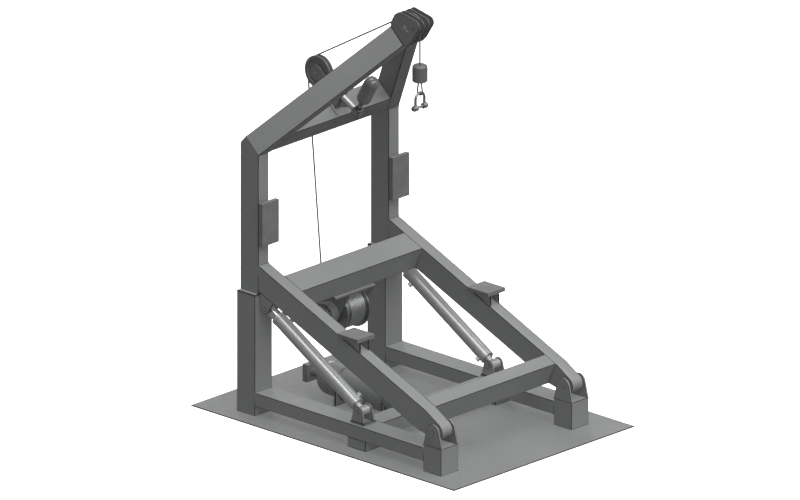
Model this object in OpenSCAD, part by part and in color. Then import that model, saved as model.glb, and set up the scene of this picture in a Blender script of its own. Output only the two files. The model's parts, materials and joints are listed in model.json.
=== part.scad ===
// Deck-mounted luffing A-frame gantry for launch and recovery, in millimetres.
// X runs across the frame, Y runs inboard, Z runs up from the underside of the deck plate.

/* [Deck and base] */
// Width of the deck plate across the frame
deck_w = 2620; // [2400:10:3200]
// Length of the deck plate along the frame
deck_l = 3640; // [3300:10:4400]
// Thickness of the deck plate
deck_t = 12; // [8:1:30]
// Distance from the frame's centre plane to the plate's, to the right
deck_shift = 38; // [0:1:60]
// Distance from the centre plane to the middle of each leg
leg_x = 945; // [850:5:1050]
// Width and depth of the rear column's box section
column_w = 250; // [200:5:300]
// Height of the column's top face above the underside of the deck plate
column_top = 1296; // [1150:1:1320]
// Thickness of the cap plate that closes each column
cap_t = 12; // [8:1:25]
// Y of the middle of the rear columns and posts
post_y = 1250; // [1150:5:1350]
// Wall thickness of every box section
wall = 10; // [6:1:16]
// Height of the side rail's underside
rail_z = 117; // [80:1:140]
// Depth of the side rail's box section
rail_h = 141; // [120:1:160]
// Y of the middle of the floor crossbeam
floor_beam_y = -280; // [-400:5:-200]
// Width of the floor crossbeam and of the blocks under it
floor_beam_w = 242; // [150:1:280]
// Length of each front foot along the frame
foot_l = 246; // [220:1:280]
// Height of the front foot's top face
foot_top = 295; // [280:1:310]

/* [Front pivot] */
// Y of the luffing pivot
pivot_y = -1325; // [-1400:5:-1290]
// Height of the luffing pivot
pivot_z = 446; // [430:1:470]
// Radius of the pivot pin
pivot_pin_r = 22; // [18:1:32]
// Thickness of each pivot cheek
cheek_t = 25; // [15:1:30]
// Radius of the cheek's round top
cheek_r = 83; // [70:1:95]
// Radius of the beam's round nose
nose_r = 90; // [75:1:95]

/* [Inclined frame] */
// Width of the gantry's box sections, seen from the front
leg_w = 150; // [120:5:170]
// Depth of the posts' box section
post_d = 250; // [200:5:250]
// Depth of the inclined beams and their crossbeams
beam_d = 250; // [220:5:255]
// Y of the bend above the front pivot
bend_y = -1186; // [-1200:1:-1150]
// Height of the bend's top edge
bend_z = 635; // [625:1:660]
// Slope of the inclined beams, in degrees
slope = 22.6; // [22:0.1:23.5]
// Distance along the beam from the bend to the lower crossbeam
lower_beam_gap = 5; // [0:1:60]
// Width of the lower crossbeam along the beam
lower_beam_w = 160; // [120:5:220]
// Distance along the beam from the post to the upper crossbeam
upper_beam_gap = 231; // [180:1:260]
// Width of the upper crossbeam along the beam
upper_beam_w = 271; // [200:1:300]

/* [A-shaped top] */
// Height of the knee, where the post's front face ends
knee_z = 2768; // [2500:1:3000]
// Lean of the A-shaped top from upright, in degrees
a_lean = 43; // [41:0.5:45]
// Depth of the A-shaped top's box sections
a_depth = 240; // [200:5:250]
// Distance from the knee to the end of the two sloping beams
head_p = 1668; // [1500:1:1800]
// Half the width of the head where the two beams end
head_half = 112; // [111:1:116]
// Width of the crossbeam of the A-shaped top
a_beam_w = 279; // [220:1:300]

/* [Head and sheaves] */
// Thickness of each head plate
head_plate_t = 18; // [14:1:20]
// Distance from the end of the beams to the head axle
head_axle_gap = 138; // [134:1:150]
// Distance of the head axle from the underside plane of the A-shaped top
head_axle_q = 120; // [110:1:130]
// Radius of the head axle
head_axle_r = 30; // [22:1:36]
// Rope pitch radius of the head sheave
head_pitch_r = 116; // [105:1:118]
// Width of the head sheave
head_sheave_w = 50; // [44:1:52]
// Outer radius of the two side sheaves
side_sheave_r = 102; // [85:1:106]
// Width of each side sheave
side_sheave_w = 40; // [32:1:42]
// Height of the guide sheave's centre above the knee
guide_rise = 597; // [590:1:630]
// Distance from the middle of the posts to the guide sheave's centre, inboard
guide_back = 6; // [0:1:30]
// Rope pitch radius of the guide sheave
guide_pitch_r = 160; // [150:1:175]
// Width of the guide sheave
guide_w = 64; // [50:1:70]
// Height of a sheave's flange above the rope's centre line
flange_h = 12; // [10:1:14]

/* [Rope] */
// Diameter of the hoist rope
rope_d = 18; // [14:1:18]
// Distance between turns on the drum
rope_pitch = 20.5; // [19:0.1:22]
// Turns of rope on the drum's outer layer
rope_turns = 10; // [6:1:10]

/* [Rope damper] */
// Slope of the damper's axis, in degrees
damper_slope = 29.2; // [26:0.1:31]
// Distance from the guide sheave's centre to the manifold's centre
damper_l = 607; // [595:1:640]
// Radius of the damper's cylinder
damper_r = 34; // [28:1:38]
// Radius of the damper's rod
damper_rod_r = 17; // [12:1:20]
// Travel of the damper, stop to stop
damper_travel = 60; // [30:1:65]
// Radius of the accumulator bottle
bottle_r = 77; // [60:1:85]
// Length of the accumulator bottle
bottle_l = 352; // [280:1:420]

/* [Winch] */
// Distance from the upper crossbeam's underside to the drum's axis
winch_drop = 354; // [330:1:380]
// Offset of the drum's axis along the beam from the crossbeam's middle
winch_offset = -18; // [-30:1:20]
// Rope pitch radius of the drum
drum_pitch_r = 190; // [170:1:200]
// Outer radius of the drum's flanges
drum_flange_r = 225; // [215:1:240]
// X of the drum's left flange, outer face
drum_x0 = -85; // [-95:1:-75]
// X of the drum's right flange, outer face
drum_x1 = 240; // [225:1:260]
// Thickness of each drum flange
drum_flange_t = 15; // [10:1:18]
// Thickness of the winch's base plate and side plates
winch_plate_t = 20; // [12:1:25]
// Radius of the gearbox
gearbox_r = 120; // [90:1:140]
// Length of the gearbox
gearbox_l = 90; // [60:1:120]
// Radius of the hydraulic motor
motor_r = 62; // [45:1:80]
// Length of the hydraulic motor
motor_l = 96; // [70:1:140]

/* [Luffing cylinders] */
// Y of the cylinder's lower pin
foot_pin_y = -250; // [-270:1:-230]
// Height of the cylinder's lower pin
foot_pin_z = 380; // [375:1:395]
// Y of the cylinder's upper pin
top_pin_y = 1048; // [1035:1:1055]
// Height of the cylinder's upper pin
top_pin_z = 1156; // [1140:1:1170]
// Outer radius of the barrel
barrel_r = 72.5; // [65:0.5:75]
// Bore radius of the barrel
bore_r = 57; // [50:0.5:60]
// Radius of the chromed rod
rod_r = 40; // [30:0.5:45]
// Radius of the cylinder's pins
cyl_pin_r = 21; // [18:1:28]
// Width of the eyes at the cylinder's two ends
eye_w = 80; // [60:1:90]

/* [Pads and tables] */
// Height of the landing table's top face
table_z = 1175; // [1165:1:1200]
// Y of the landing table's middle
table_y = -150; // [-170:1:-140]
// Length of the landing table along the frame
table_l = 286; // [240:1:300]
// Width of the landing table
table_w = 250; // [200:1:280]
// Thickness of the landing table with its rubber face
table_t = 40; // [25:1:45]
// Width of the bumper pads on the posts
pad_w = 240; // [180:1:260]
// Height of the bumper pads
pad_h = 452; // [350:1:520]
// Height of the bumper pad's middle
pad_z = 2057; // [1950:1:2150]
// Thickness of the bumper pad
pad_t = 50; // [30:1:60]
// Depth of the bracket behind the pad
pad_gap = 50; // [30:1:70]

/* [Hook] */
// Radius of the hook's ball weight
weight_r = 78; // [60:1:90]
// Height of the ball weight
weight_h = 177; // [140:1:200]
// Length of free rope between the head axle and the ball weight
fall_l = 386; // [300:1:500]
// Radius of the shackle's bar
shackle_r = 14.5; // [13:0.5:16]
// Distance from the middle of the shackle's crown bend to its pin
shackle_leg = 88; // [80:1:110]
// Half the distance between the shackle's legs, centre to centre
shackle_half = 64; // [60:1:70]
// Radius of the shackle's pin
shackle_pin_r = 13; // [11:0.5:14]

/* [Gas tank] */
// Distance of the tank's axis to the left of the centre plane
tank_x = 105; // [60:5:200]
// Height of the tank's axis
tank_z = 206; // [200:1:300]
// Radius of the tank
tank_r = 175; // [140:1:180]
// Y of the tank's front end
tank_y0 = -150; // [-155:1:20]
// Length of the tank over its domed ends
tank_l = 1277; // [1000:1:1290]
// Depth of each domed end
dome_d = 175; // [60:1:175]

/* [Hidden] */
$fn = 64;

// Colours of the painted steel, bright metal and rubber
paint = [0.47, 0.47, 0.47];
paint_dark = [0.36, 0.36, 0.36];
bright = [0.75, 0.75, 0.76];
rubber = [0.32, 0.32, 0.33];
bronze = [0.62, 0.52, 0.34];

// Clearances
run = 0.05;
free = 0.3;
side_gap = 1;
weld = 0.02;

// Rear column and post planes
post_front = post_y - post_d / 2;
post_back = post_y + post_d / 2;
column_front = post_y - column_w / 2;
rail_top = rail_z + rail_h;
foot_back = pivot_y + foot_l / 2;
inner_w = column_w - 2 * cheek_t;

// Inclined frame, measured from the bend along the beams
incline_l = (post_front - bend_y) / cos(slope);
upper_y1 = incline_l - upper_beam_gap;
upper_y0 = upper_y1 - upper_beam_w;
cross_half = leg_x - leg_w / 2;

// A-shaped top, measured from the knee
leg_outer = leg_x + leg_w / 2;
a_tilt = atan((leg_outer - head_half) / head_p);
a_inner0 = leg_outer - leg_w / cos(a_tilt);
peak_y = post_front + a_depth * cos(a_lean);
peak_z = knee_z + a_depth * sin(a_lean);

// A point of the A-shaped top's own plane, p up the beams and q out of their underside, as [y, z]
function a_point(p, q) = [
    post_front - p * sin(a_lean) + q * cos(a_lean),
    knee_z + p * cos(a_lean) + q * sin(a_lean)];

head_axle_p = head_p + head_axle_gap;
head_at = a_point(head_axle_p, head_axle_q);
keep_p = head_axle_p + 109;
keep_q = head_axle_q - 68;
keeper_pin_r = 12;
keeper_t = 8;
keeper_w = 44;
keeper_h = 50;
keeper_corner = 10;
keeper_q = head_axle_q - head_axle_r + 8;
keeper_bolt_r = 5;
keeper_bolt_at = [[head_axle_p - 11, keeper_q - 36], [head_axle_p + 11, keeper_q - 26]];
head_inner_x = (head_sheave_w + 6) / 2;
head_outer_x = head_half - head_plate_t;
side_x = (head_inner_x + head_plate_t + head_outer_x) / 2;
fall_y = head_at[0] - head_pitch_r;
weight_top = head_at[1] - fall_l;
weight_low = weight_top - weight_h;

// Drum axis as [y, z]
drum_along = (upper_y0 + upper_y1) / 2 + winch_offset;
drum_down = beam_d + winch_drop;
drum_at = [
    bend_y + drum_along * cos(slope) + drum_down * sin(slope),
    bend_z + drum_along * sin(slope) - drum_down * cos(slope)];
guide_at = [post_y + guide_back, knee_z + guide_rise];
rope_r = rope_d / 2;

// Angle of the outside tangent from one sheave to the next, both on the same side
function lead_angle(a, ra, b, rb) =
    atan2(b[1] - a[1], b[0] - a[0]) + asin((ra - rb) / norm(b - a));
function on_circle(c, r, angle) = [c[0] + r * cos(angle), c[1] + r * sin(angle)];
up_angle = lead_angle(drum_at, drum_pitch_r, guide_at, guide_pitch_r);
over_angle = lead_angle(guide_at, guide_pitch_r, head_at, head_pitch_r);
drum_leave = up_angle - 90;
head_reach = over_angle - 90;

// Rope route in the centre plane, as [y, z]
rope_step = 75;
bend_step = 15;
function straight(a, b) =
    let(n = ceil(norm(b - a) / rope_step))
    [for (i = [1:n - 1]) a + (b - a) * i / n];
function bend_points(c, r, from, to) =
    let(n = ceil((to - from) / bend_step), half = (to - from) / n / 2)
    concat([on_circle(c, r, from)],
        [for (i = [1:n]) on_circle(c, r / cos(half), from + (2 * i - 1) * half)],
        [on_circle(c, r, to)]);
drum_point = on_circle(drum_at, drum_pitch_r, drum_leave);
lead_way = [cos(up_angle), sin(up_angle)];
lead_start = drum_point + lead_way * rope_d;
guide_bend = bend_points(guide_at, guide_pitch_r, drum_leave, head_reach);
head_bend = bend_points(head_at, head_pitch_r, head_reach, 180);
function last(list) = list[len(list) - 1];
rope_route = concat([lead_start], straight(lead_start, guide_bend[0]), guide_bend,
    straight(last(guide_bend), head_bend[0]), head_bend);

// Helix of the drum's outer layer, from its clamp to the point where the rope leaves
turn_steps = 24;
winding_x = rope_pitch * rope_turns;
winding_end = (rope_d - weld) * lead_way;
winding_path = concat(
    [for (p = [drum_point - winding_end, drum_point]) [winding_x, p[0], p[1]]],
    [for (i = [1:rope_turns * turn_steps])
        let(step = i - 0.5,
            c = on_circle(drum_at, drum_pitch_r / cos(180 / turn_steps),
                drum_leave + 360 * step / turn_steps))
        [rope_pitch * (rope_turns - step / turn_steps), c[0], c[1]]],
    [for (p = [drum_point, drum_point + winding_end]) [0, p[0], p[1]]]);
winding_self_gap = min([for (i = [1:len(winding_path) - 2 - turn_steps])
    norm(winding_path[i + turn_steps] - winding_path[i])]) - rope_d;
echo(winding_self_gap = winding_self_gap);

// Tube along a route, one unbroken polyhedron
function unit(v) = v / norm(v);
function heading(path, i) =
    unit(path[min(i + 1, len(path) - 1)] - path[max(i - 1, 0)]);
function ring(path, i, r, sides) =
    let(t = heading(path, i), n = unit([1, 0, 0] - t[0] * t), b = cross(t, n))
    [for (k = [0:sides - 1]) path[i] + r * (cos(360 * k / sides) * n + sin(360 * k / sides) * b)];
module tube_along(path, r, sides) {
    count = len(path);
    points = [for (i = [0:count - 1]) each ring(path, i, r, sides)];
    walls = [for (i = [0:count - 2], k = [0:sides - 1])
        let(k2 = (k + 1) % sides, a = i * sides, b = a + sides)
        each [[a + k, b + k, a + k2], [a + k2, b + k, b + k2]]];
    first_end = [for (k = [1:sides - 2]) [0, k, k + 1]];
    last_base = (count - 1) * sides;
    last_end = [for (k = [1:sides - 2]) [last_base, last_base + k + 1, last_base + k]];
    polyhedron(points, concat(walls, first_end, last_end));
}

// Luffing cylinder's own axis
cyl_dy = top_pin_y - foot_pin_y;
cyl_dz = top_pin_z - foot_pin_z;
cyl_l = norm([cyl_dy, cyl_dz]);
cyl_angle = atan2(cyl_dz, cyl_dy);
barrel_s0 = 95;
barrel_s1 = cyl_l - 150;
end_cap_t = 30;
gland_l = 80;
piston_l = 55;
piston_s0 = barrel_s0 + end_cap_t + 5;
eye_r = 52;
neck_r = 36;
foot_eye_w = 110;
rod_eye_r = 58;
shank_r = 55;
port_r = 25;
port_h = 28;
eye_gap = 5;
ear_gap = eye_w + eye_gap;
clevis_t = 25;
clevis_r = 60;
clevis_foot = 170;
clevis_w = foot_eye_w + eye_gap + 2 * clevis_t;

// Turned outline with round corners: each corner circle's edge joins the next one's
module round_outline(points, r) {
    count = len(points);
    polygon([for (i = [0:count - 1])
        let(a = points[i], b = points[(i + 1) % count], d = unit(b - a), n = [d[1], -d[0]])
        each [a + r * n, b + r * n]]);
    for (p = points) translate(p) circle(r);
}
// A plate drawn in Y and Z, centred on its thickness across X
module plate_yz(t) {
    rotate([90, 0, 90]) translate([0, 0, -t / 2]) linear_extrude(t) children();
}
module rod_x(r, l) {
    translate([-l / 2, 0, 0]) rotate([0, 90, 0]) cylinder(r = r, h = l);
}
module box_x(l, y, z) {
    translate([-l / 2, 0, 0]) cube([l, y, z]);
}
module both_sides() {
    for (s = [-1, 1]) translate([s * leg_x, 0, 0]) children();
}
module on_incline() {
    translate([0, bend_y, bend_z]) rotate([slope, 0, 0]) children();
}
// Y of the child runs out of the A-shaped top's underside plane, Z runs up its beams
module on_a_top() {
    translate([0, post_front, knee_z]) rotate([a_lean, 0, 0]) children();
}
module on_damper() {
    at_yz(guide_at) rotate([damper_slope, 0, 0]) children();
}
module at_yz(p) {
    translate([0, p[0], p[1]]) children();
}
// Y of the child runs from the lower pin to the upper one
module on_cylinder(side) {
    translate([side * leg_x, foot_pin_y, foot_pin_z]) rotate([cyl_angle, 0, 0]) children();
}
module along_y(r, l) {
    rotate([-90, 0, 0]) cylinder(r = r, h = l);
}

// Base frame
module deck_plate() color(paint)
    translate([deck_shift - deck_w / 2, -deck_l / 2, 0]) cube([deck_w, deck_l, deck_t]);

module rear_columns() color(paint)
    both_sides() difference() {
        translate([-column_w / 2, column_front, deck_t])
            cube([column_w, column_w, column_top - cap_t - deck_t]);
        translate([wall - column_w / 2, column_front + wall, deck_t - 1])
            cube([column_w - 2 * wall, column_w - 2 * wall, column_top]);
    }

module column_caps() color(paint)
    both_sides() translate([-column_w / 2, column_front, column_top - cap_t])
        cube([column_w, column_w, cap_t]);

module side_rails() color(paint)
    both_sides() difference() {
        translate([-column_w / 2, foot_back, rail_z]) cube([column_w, column_front - foot_back, rail_h]);
        translate([wall - column_w / 2, foot_back - 1, rail_z + wall])
            cube([column_w - 2 * wall, column_front - foot_back + 2, rail_h - 2 * wall]);
    }

module floor_crossbeam() color(paint) {
    l = 2 * leg_x - column_w;
    translate([0, floor_beam_y - floor_beam_w / 2, rail_z]) difference() {
        box_x(l, floor_beam_w, rail_h);
        translate([0, wall, wall]) box_x(l + 2, floor_beam_w - 2 * wall, rail_h - 2 * wall);
    }
}

module rail_blocks() color(paint)
    both_sides() translate([-column_w / 2, floor_beam_y - floor_beam_w / 2, deck_t])
        cube([column_w, floor_beam_w, rail_z - deck_t]);

module front_feet() color(paint)
    both_sides() difference() {
        translate([-column_w / 2, pivot_y - foot_l / 2, deck_t]) cube([column_w, foot_l, foot_top - deck_t]);
        translate([wall - column_w / 2, pivot_y - foot_l / 2 + wall, deck_t - 1])
            cube([column_w - 2 * wall, foot_l - 2 * wall, foot_top - deck_t - 2 * wall + 1]);
    }

// An ear drawn in Y and Z: a foot of the given length, and a round top about the hole
module ear_outline(foot, rise, r, hole) {
    spread = acos(r / norm([foot / 2, rise])) - atan2(rise, foot / 2);
    difference() {
        union() {
            circle(r);
            polygon([[-foot / 2, -rise], [foot / 2, -rise],
                [r * cos(spread), r * sin(spread)], [-r * cos(spread), r * sin(spread)]]);
        }
        circle(hole);
    }
}

module pivot_cheeks() color(paint)
    both_sides() for (s = [-1, 1])
        translate([s * (column_w - cheek_t) / 2, pivot_y, pivot_z]) plate_yz(cheek_t)
            ear_outline(foot_l, pivot_z - foot_top, cheek_r, pivot_pin_r + run);

// A pin across X with a thin keeper ring at each end
ring_t = 4;
ring_h = 4;
module ringed_pin(r, l) {
    rod_x(r, l + 2 * ring_t);
    for (s = [-1, 1]) translate([s * (l + ring_t) / 2, 0, 0]) rod_x(r + ring_h, ring_t);
}
module pivot_pins() color(bright)
    both_sides() at_yz([pivot_y, pivot_z]) ringed_pin(pivot_pin_r, column_w);

clevis_base_t = 20;
clevis_over = 8;
module cylinder_clevises() color(paint)
    both_sides() {
        translate([0, foot_pin_y - clevis_foot / 2 - clevis_over, rail_top])
            box_x(clevis_w + 2 * clevis_over, clevis_foot + 2 * clevis_over, clevis_base_t);
        for (s = [-1, 1])
            translate([s * (clevis_w - clevis_t) / 2, foot_pin_y, foot_pin_z]) plate_yz(clevis_t)
                ear_outline(clevis_foot, foot_pin_z - rail_top - clevis_base_t, clevis_r,
                    cyl_pin_r + run);
    }

module clevis_pins() color(bright)
    both_sides() at_yz([foot_pin_y, foot_pin_z]) ringed_pin(cyl_pin_r, clevis_w);

// Gas tank on the deck
module turned_y() {
    rotate([-90, 0, 0]) rotate_extrude() children();
}
module gas_tank() color(paint)
    translate([-tank_x, tank_y0, tank_z]) turned_y() bottle_outline(tank_r, tank_l, dome_d);

// Half outline of a bottle: straight wall, and ends drawn as quarter arcs and flats
module bottle_outline(r, l, d) {
    flat = r - d;
    translate([0, d]) square([r, l - 2 * d]);
    for (m = [0, 1]) translate([0, m * l]) mirror([0, m]) {
        if (flat > 0) square([flat, d]);
        translate([flat, d]) intersection() {
            circle(d);
            translate([0, -d]) square([d, d]);
        }
    }
}
valve_r = 45;
valve_sunk = 12;
valve_neck_l = 107;
valve_block_w = 184;
valve_block_l = 65;
module tank_valve() color(paint)
    translate([-tank_x, tank_y0 + tank_l, tank_z]) {
        difference() {
            translate([0, -valve_sunk, 0]) along_y(valve_r, valve_neck_l + valve_sunk);
            translate([0, -tank_l, 0]) turned_y() bottle_outline(tank_r + run, tank_l + run, dome_d);
        }
        translate([0, valve_neck_l, -valve_block_w / 2])
            box_x(valve_block_w, valve_block_l, valve_block_w);
    }

saddle_at = [0.21, 0.71];
saddle_t = 30;
saddle_over = 22;
saddle_half = tank_r + saddle_over;
module tank_saddles() color(paint)
    for (f = saddle_at)
        translate([-tank_x, tank_y0 + f * tank_l + saddle_t / 2, tank_z]) rotate([90, 0, 0])
            linear_extrude(saddle_t) difference() {
                polygon([[-saddle_half, deck_t - tank_z], [saddle_half, deck_t - tank_z],
                    [saddle_half, 0], [-saddle_half, 0]]);
                circle(tank_r + run);
            }

// Bands over the tank, with a foot at each end that is bolted down on the saddle
band_t = 4;
band_w = 40;
band_foot_t = 6;
module tank_bands() color(bright)
    for (f = saddle_at) translate([-tank_x, tank_y0 + f * tank_l - band_w / 2, tank_z]) {
        difference() {
            along_y(tank_r + band_t, band_w);
            translate([0, -1, 0]) along_y(tank_r + run, band_w + 2);
            translate([0, -1, -2 * tank_r]) box_x(4 * tank_r, band_w + 2, 2 * tank_r);
        }
        for (s = [-1, 1]) translate([s * (tank_r + (saddle_over + band_t / 2) / 2), 0, 0])
            box_x(saddle_over - band_t / 2, band_w, band_foot_t);
    }

// Luffing gantry
module posts() color(paint)
    both_sides() difference() {
        plate_yz(leg_w) polygon([[post_front, column_top], [post_back, column_top],
            [post_back, peak_z - (post_back - peak_y) / tan(a_lean)], [peak_y, peak_z],
            [post_front, knee_z]]);
        plate_yz(leg_w - 2 * wall) polygon([[post_front + wall, column_top - 1],
            [post_back - wall, column_top - 1],
            [post_back - wall, peak_z - 2 * wall - (post_back - peak_y) / tan(a_lean)],
            [peak_y, peak_z - 2 * wall], [post_front + wall, knee_z - wall]]);
    }

// One sloping beam in its own plane: X across, Y up the beam to the seam between the two
seam = 0.25;
module a_beam_outline(inset, top) {
    over = inset / cos(a_tilt);
    foot = a_inner0 + over;
    reach = min(top, (foot - seam) / tan(a_tilt));
    polygon([[leg_outer - over, 0], [leg_outer - over - top * tan(a_tilt), top],
        [max(seam, foot - top * tan(a_tilt)), top],
        [foot - reach * tan(a_tilt), reach], [foot, 0]]);
}
module a_beams() color(paint)
    on_a_top() for (m = [0, 1]) mirror([m, 0, 0]) difference() {
        translate([0, a_depth, 0]) rotate([90, 0, 0]) linear_extrude(a_depth)
            intersection() {
                a_beam_outline(0, head_p);
                translate([0, weld]) square([leg_outer, head_p]);
            }
        translate([0, a_depth - wall, -1]) rotate([90, 0, 0]) linear_extrude(a_depth - 2 * wall)
            a_beam_outline(wall, head_p - 130);
    }

module a_crossbeam() color(paint) {
    low = a_inner0;
    high = a_inner0 - a_beam_w * tan(a_tilt);
    on_a_top() difference() {
        translate([0, a_depth, 0]) rotate([90, 0, 0]) linear_extrude(a_depth)
            polygon([[-low, 0], [low, 0], [high, a_beam_w], [-high, a_beam_w]]);
        translate([0, wall, wall]) box_x(2 * low + 2, a_depth - 2 * wall, a_beam_w - 2 * wall);
    }
}

// Touching point on the nose circle of a line from a point, above or below
function touch(p, c, r, side) =
    let(d = p - c, a = atan2(d[1], d[0]) + side * acos(r / norm(d)))
    [c[0] + r * cos(a), c[1] + r * sin(a)];
module incline_beams() color(paint) {
    nose = [pivot_y, pivot_z];
    bend = [bend_y, bend_z];
    under = bend + beam_d * [sin(slope), -cos(slope)];
    both_sides() difference() {
        plate_yz(leg_w) difference() {
            union() {
                translate(nose) circle(nose_r);
                polygon([nose, touch(under, nose, nose_r, -1), under,
                    [post_front, bend_z + (post_front - bend_y) * tan(slope) - beam_d / cos(slope)],
                    [post_front, bend_z + (post_front - bend_y) * tan(slope)],
                    bend, touch(bend, nose, nose_r, 1)]);
            }
            translate(nose) circle(pivot_pin_r + 10 + run);
        }
        translate([0, bend_y, bend_z]) rotate([slope, 0, 0])
            translate([0, lower_beam_gap + 40, wall - beam_d])
                box_x(leg_w - 2 * wall, incline_l + 200, beam_d - 2 * wall);
    }
}

module pivot_bushes() color(bronze)
    both_sides() at_yz([pivot_y, pivot_z]) difference() {
        union() {
            rod_x(pivot_pin_r + 10, inner_w - 2 * side_gap);
            for (s = [-1, 1])
                translate([s * (leg_w / 2 + (inner_w - leg_w) / 4 - side_gap / 2), 0, 0])
                    rod_x(pivot_pin_r + 26, (inner_w - leg_w) / 2 - side_gap);
        }
        rod_x(pivot_pin_r + run, inner_w + 2);
    }

module incline_crossbeam(from, w) {
    on_incline() translate([0, from, -beam_d]) difference() {
        box_x(2 * cross_half, w, beam_d);
        translate([0, wall, wall]) box_x(2 * cross_half + 2, w - 2 * wall, beam_d - 2 * wall);
    }
}
module upper_crossbeam() color(paint) incline_crossbeam(upper_y0, upper_beam_w);
module lower_crossbeam() color(paint) incline_crossbeam(lower_beam_gap, lower_beam_w);

// Lugs under the inclined beams for the luffing cylinders' upper pins
lug_r = 56;
lug_t = 28;
under_at = bend_z + (top_pin_y - bend_y) * tan(slope) - beam_d / cos(slope) - weld;
module cylinder_lugs() color(paint)
    both_sides() for (s = [-1, 1])
        translate([s * (ear_gap + lug_t) / 2, 0, 0]) plate_yz(lug_t) difference() {
            union() {
                translate([top_pin_y, top_pin_z]) circle(lug_r);
                polygon([[top_pin_y + lug_r, top_pin_z],
                    [top_pin_y + lug_r, under_at + lug_r * tan(slope)],
                    [top_pin_y - lug_r - 70, under_at - (lug_r + 70) * tan(slope)],
                    [top_pin_y - lug_r * cos(30), top_pin_z - lug_r * sin(30)], [top_pin_y, top_pin_z]]);
            }
            translate([top_pin_y, top_pin_z]) circle(cyl_pin_r + run);
        }

// The upper pin's two ends: its middle belongs to the rod's eye
module lug_pins() color(bright)
    both_sides() for (s = [-1, 1]) translate([s * ear_gap / 2, top_pin_y, top_pin_z])
        rotate([0, s * 90, 0]) {
            cylinder(r = cyl_pin_r, h = lug_t + ring_t);
            translate([0, 0, lug_t]) cylinder(r = cyl_pin_r + ring_h, h = ring_t);
        }

// Landing tables on the inclined beams
table_low = table_z - table_t;
web_t = 15;
function beam_top(y) = bend_z + (y - bend_y) * tan(slope);
module landing_brackets() color(paint)
    both_sides() {
        y0 = table_y - table_l / 2 + 20;
        y1 = min(table_y + table_l / 2 - 20, bend_y + (table_low - bend_z) / tan(slope));
        for (s = [-1, 1]) translate([s * (leg_w / 2 - web_t), 0, 0]) plate_yz(web_t)
            polygon([[y0, beam_top(y0)], [y1, beam_top(y1)], [y1, table_low], [y0, table_low]]);
    }

module landing_tables() color(rubber)
    both_sides() translate([0, table_y - table_l / 2, table_low])
        box_x(table_w, table_l, table_t);

module bumper_brackets() color(paint)
    both_sides() translate([0, post_front - pad_gap, pad_z]) difference() {
        translate([0, 0, -pad_h * 0.42]) box_x(leg_w - 20, pad_gap, pad_h * 0.84);
        translate([0, wall, -pad_h]) box_x(leg_w - 20 - 2 * wall, pad_gap, pad_h * 2);
    }

module bumper_pads() color(rubber)
    both_sides() translate([0, post_front - pad_gap - pad_t, pad_z - pad_h / 2])
        box_x(pad_w, pad_t, pad_h);

// Head of the gantry
head_corner = 60;
head_over = 4;
head_corner_at = [[head_corner, 20], [122, 20], [280, 50], [170, 225], [130, 233],
    [head_corner, 215]];
module head_outline() {
    round_outline([for (c = head_corner_at) [head_p, 0] + c], head_corner);
    translate([head_p, -head_over]) square([head_corner, a_depth + 2 * head_over]);
}
// A plate in the plane of p and q, centred across X
module plate_pq(t) {
    on_a_top() rotate([0, -90, 0]) translate([0, 0, -t / 2]) linear_extrude(t) children();
}
module head_plates() color(paint_dark)
    for (x = [-head_outer_x - head_plate_t / 2, -head_inner_x - head_plate_t / 2,
            head_inner_x + head_plate_t / 2, head_outer_x + head_plate_t / 2])
        translate([x, 0, 0]) plate_pq(head_plate_t) difference() {
            head_outline();
            translate([head_axle_p, head_axle_q]) circle(head_axle_r + run);
            translate([keep_p, keep_q]) circle(keeper_pin_r + run);
        }

// The axle's two ends have a flat below, and a keeper plate bolted to the head sits under it
module head_axle() color(bright)
    difference() {
        at_yz(head_at) rod_x(head_axle_r, 2 * (head_half + keeper_t));
        for (s = [-1, 1]) translate([s * (head_half + keeper_t), 0, 0]) on_a_top()
            translate([0, keeper_q - head_axle_r, head_axle_p - head_axle_r])
                box_x(2 * keeper_t, head_axle_r, 2 * head_axle_r);
    }

module axle_keepers() color(paint)
    for (s = [-1, 1]) translate([s * (head_half + keeper_t / 2), 0, 0]) plate_pq(keeper_t)
        difference() {
            round_outline([for (c = [[-1, 0], [1, 0], [1, 1], [-1, 1]])
                [head_axle_p + c[0] * (keeper_w / 2 - keeper_corner),
                    keeper_q - keeper_corner - (1 - c[1]) * (keeper_h - 2 * keeper_corner)]],
                keeper_corner);
            for (k = keeper_bolt_at) translate(k) circle(keeper_bolt_r + run);
        }

module keeper_bolts() color(bright)
    for (s = [-1, 1], k = keeper_bolt_at) translate([s * (head_half + keeper_t), 0, 0])
        on_a_top() translate([0, k[1], k[0]]) {
            rotate([0, s * 90, 0]) cylinder(r = 1.5 * keeper_bolt_r, h = keeper_bolt_r, $fn = 6);
            rotate([0, -s * 90, 0]) cylinder(r = keeper_bolt_r, h = keeper_t);
        }

module retaining_pins() color(bright)
    for (s = [-1, 1]) on_a_top() translate([s * head_inner_x, keep_q, keep_p])
        rotate([0, s * 90, 0]) {
            cylinder(r = keeper_pin_r, h = head_half - head_inner_x + 10);
            translate([0, 0, head_half - head_inner_x]) cylinder(r = keeper_pin_r + 8, h = 10);
        }

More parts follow.
